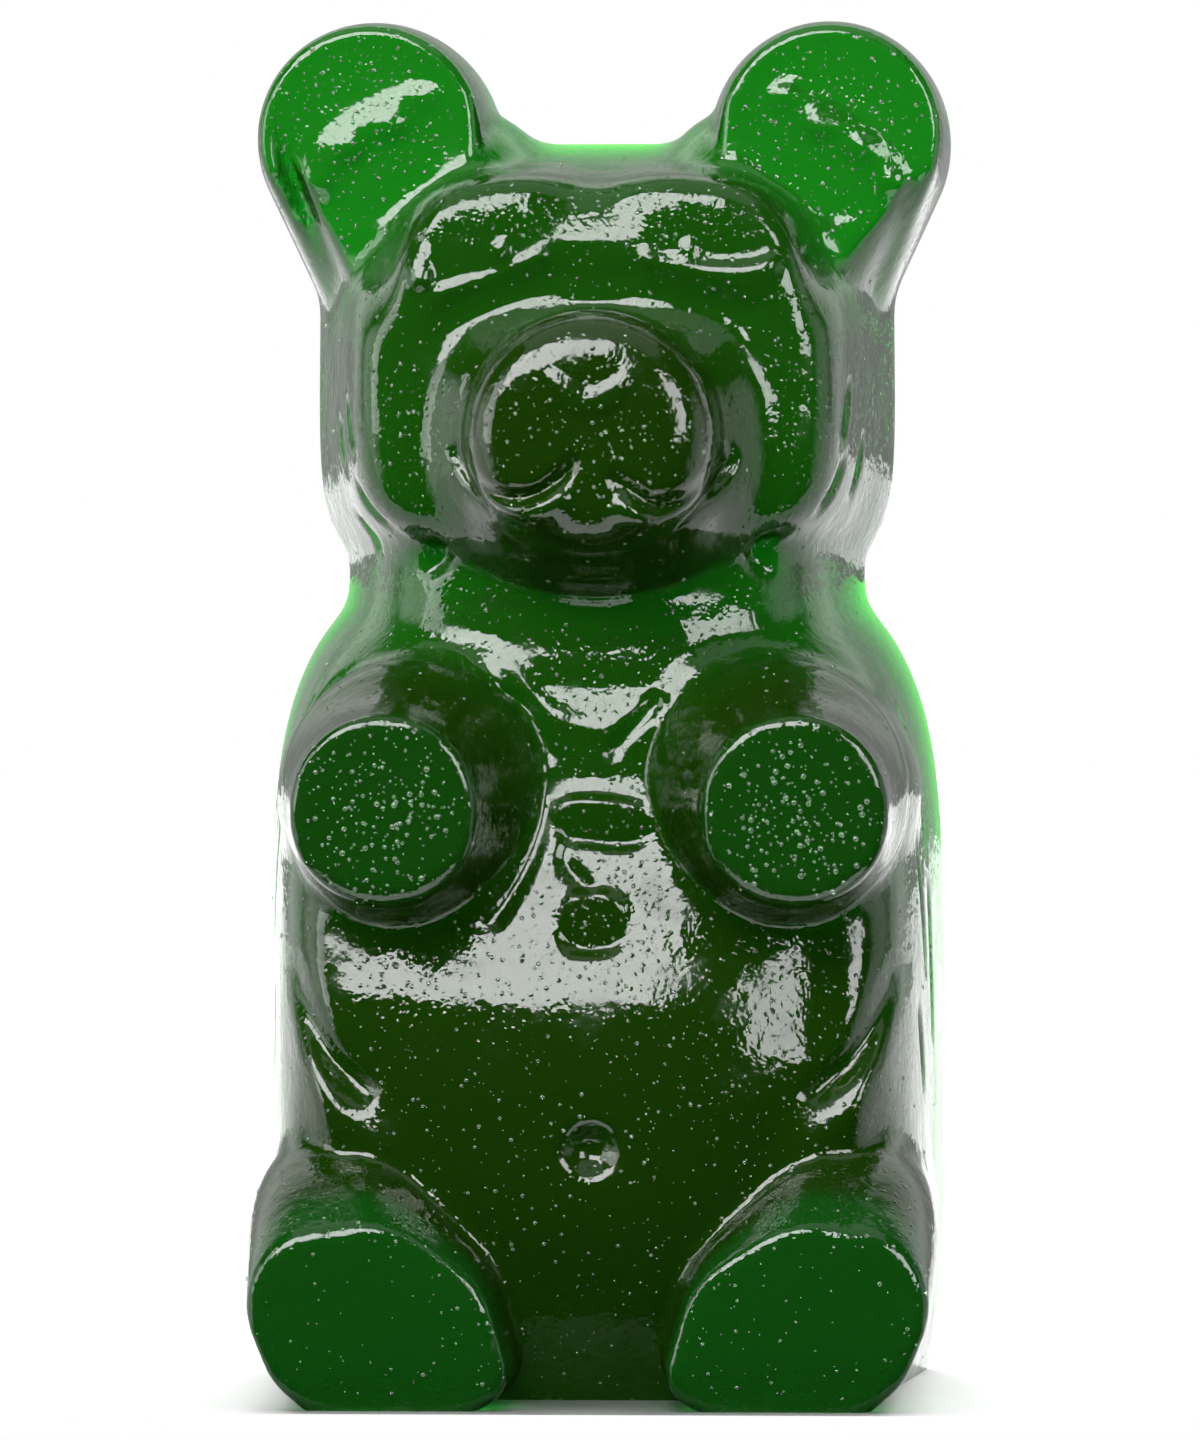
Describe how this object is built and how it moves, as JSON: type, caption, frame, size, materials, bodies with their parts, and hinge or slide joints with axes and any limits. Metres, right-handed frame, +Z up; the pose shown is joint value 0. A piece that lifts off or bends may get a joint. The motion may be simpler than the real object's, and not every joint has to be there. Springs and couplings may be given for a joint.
{
  "type": "giant gummy bear",
  "caption": "Large translucent green jelly sweet in the form of a sitting bear: flat back, round ears, snout, raised paws and broad flat soles.",
  "frame": {"origin": "on the floor, under the middle of the bear's bounding box", "axes": "+Z up along the bear's height; +Y from the soles to the flat back, so the bear faces -Y; +X to the right of someone who looks at its face"},
  "size_m": [0.1236, 0.089, 0.2408],
  "materials": {
    "jelly": "deep green gelatine jelly, translucent, wet gloss with fine bubbles"
  },
  "bodies": {
    "root": {"gummy_bear": "jelly"}
  },
  "joints": []
}
